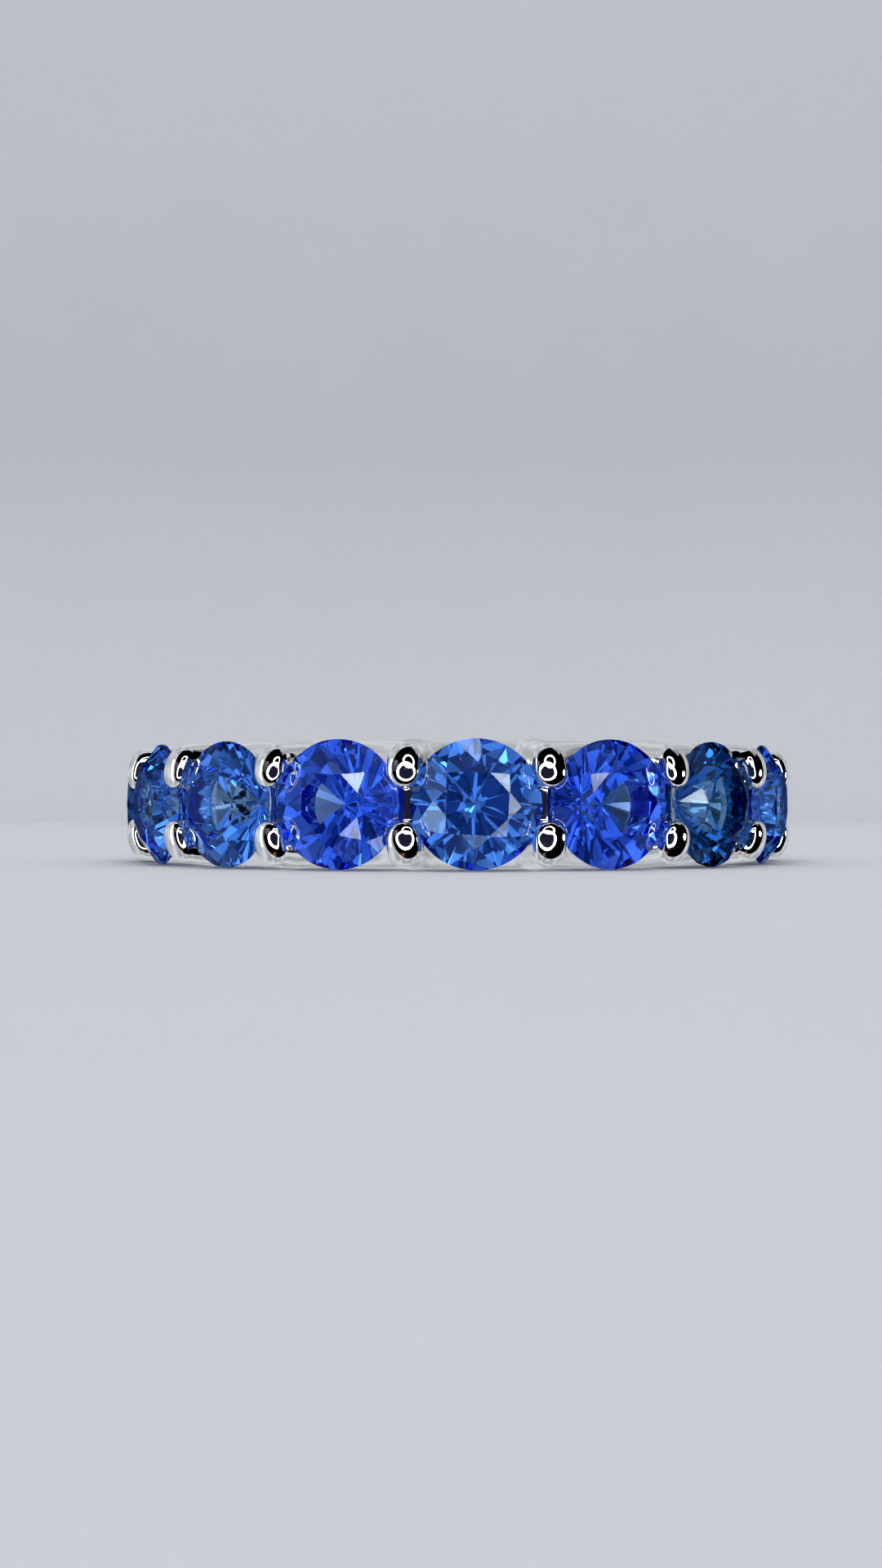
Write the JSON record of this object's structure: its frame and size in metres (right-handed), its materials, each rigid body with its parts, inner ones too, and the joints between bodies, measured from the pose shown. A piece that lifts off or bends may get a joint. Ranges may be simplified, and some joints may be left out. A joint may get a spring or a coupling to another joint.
{
  "type": "sapphire ring",
  "caption": "Full eternity ring: round faceted blue sapphires held in one row by shared bead-topped prongs on a white gold band with side scallops and light holes.",
  "frame": {"origin": "on the ring's axis, at the plane that the ring lies on when it rests on its side", "axes": "+Z along the ring's axis, up when it lies on its side; -Y through the middle of the first stone; +X to the right of that stone, seen from outside the ring"},
  "size_m": [0.022, 0.022, 0.0038],
  "materials": {
    "white_gold": "polished rhodium-plated white gold",
    "sapphire_cornflower": "faceted, polished, medium blue",
    "sapphire_royal": "faceted, polished, strong blue",
    "sapphire_inky": "faceted, polished, dark greenish blue"
  },
  "bodies": {
    "root": {"setting": "white_gold", "sapphire_01": "sapphire_cornflower", "sapphire_02": "sapphire_royal", "sapphire_03": "sapphire_inky", "sapphire_04": "sapphire_cornflower", "sapphire_05": "sapphire_royal", "sapphire_06": "sapphire_cornflower", "sapphire_07": "sapphire_royal", "sapphire_08": "sapphire_inky", "sapphire_09": "sapphire_cornflower", "sapphire_10": "sapphire_royal", "sapphire_11": "sapphire_royal", "sapphire_12": "sapphire_cornflower", "sapphire_13": "sapphire_inky", "sapphire_14": "sapphire_cornflower", "sapphire_15": "sapphire_cornflower", "sapphire_16": "sapphire_royal"}
  },
  "joints": []
}
